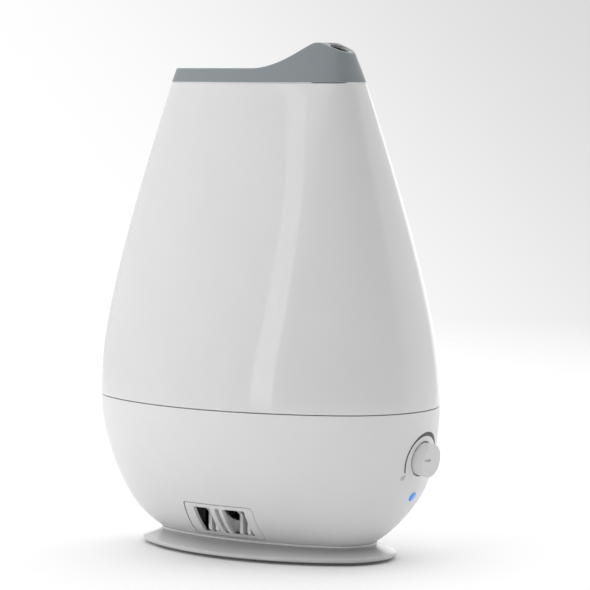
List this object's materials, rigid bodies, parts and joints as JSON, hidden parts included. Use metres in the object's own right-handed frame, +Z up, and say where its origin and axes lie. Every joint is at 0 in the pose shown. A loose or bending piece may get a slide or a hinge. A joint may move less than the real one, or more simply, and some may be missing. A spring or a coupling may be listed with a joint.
{
  "type": "cool mist humidifier",
  "caption": "Teardrop ultrasonic cool mist humidifier: lift-off tank and lid with angled outlet, oval base on a flared foot, output knob, side air intake.",
  "frame": {"origin": "floor level, at the centre of the foot", "axes": "+Z up; the front, with the knob, faces -Y; the intake grille is on the -X side; the cord gland is at the rear, +Y"},
  "size_m": [0.1372, 0.2284, 0.3047],
  "materials": {
    "shell": "glossy",
    "base_white": "satin",
    "lid_grey": "satin",
    "nozzle_white": "glossy",
    "knob_grey": "satin",
    "inner_plastic": "matte",
    "dark_plastic": "matte",
    "rubber": "matte",
    "steel": "satin",
    "aluminium": "satin",
    "brass": "satin",
    "pcb": "satin",
    "lens_blue": "glossy",
    "glass": "glossy",
    "winding": "satin"
  },
  "bodies": {
    "base": {"base_shell": "base_white", "foot": "shell", "rubber_feet": "rubber", "base_screws": "steel", "intake_grille": "base_white", "deck": "inner_plastic", "air_hood": "inner_plastic", "fan_housing": "inner_plastic", "fan_cover": "inner_plastic", "fan_screws": "steel", "fan_motor": "dark_plastic", "transducer_disc": "brass", "transducer_seal": "rubber", "transducer_ring": "aluminium", "transducer_screws": "steel", "driver_board": "pcb", "heat_sink": "aluminium", "power_transistor": "dark_plastic", "transformer": "winding", "control_board": "pcb", "control_pot": "dark_plastic", "pot_nut": "steel", "led_lens": "lens_blue", "led_lamp": "glass", "cord_gland": "base_white", "gland_nut": "inner_plastic", "float_cap": "inner_plastic", "reed_switch": "glass"},
    "knob": {"control_knob": "knob_grey", "pot_shaft": "steel"},
    "impeller": {"fan_impeller": "dark_plastic"},
    "float": {"float": "inner_plastic", "float_magnet": "dark_plastic"},
    "tank": {"tank_shell": "shell", "tank_floor": "shell", "mist_tube": "shell"},
    "filler_cap": {"tank_cap": "knob_grey", "cap_gasket": "rubber", "valve_spring": "steel"},
    "valve": {"valve_plunger": "inner_plastic", "valve_seal": "rubber"},
    "lid": {"top_lid": "lid_grey", "mist_nozzle": "nozzle_white"}
  },
  "joints": [
    {"name": "tank_lift", "type": "slide", "parent": "base", "child": "tank", "axis": [0, 0, 1], "range_m": [0, 0.12]},
    {"name": "lid_lift", "type": "slide", "parent": "tank", "child": "lid", "axis": [0, 0, 1], "range_m": [0, 0.04]},
    {"name": "knob_turn", "type": "hinge", "parent": "base", "child": "knob", "pos_m": [0, -0.10846, 0.0633], "axis": [0, 0.9914, 0.1305], "range_deg": [-45, 225]},
    {"name": "fan_spin", "type": "hinge", "parent": "base", "child": "impeller", "pos_m": [-0.024, 0, 0.0335], "axis": [1, 0, 0], "continuous": true},
    {"name": "float_rise", "type": "slide", "parent": "base", "child": "float", "axis": [0, 0, 1], "range_m": [0, 0.006]},
    {"name": "cap_turn", "type": "hinge", "parent": "tank", "child": "filler_cap", "pos_m": [0, 0.034, 0.09], "axis": [0, 0, 1], "range_deg": [0, 70]},
    {"name": "valve_slide", "type": "slide", "parent": "filler_cap", "child": "valve", "axis": [0, 0, 1], "range_m": [-0.004, 0], "deforming": ["valve_spring"]}
  ],
  "couplings": [
    {"joint": "valve_slide", "follows": "tank_lift", "ratio": -0.033333}
  ]
}
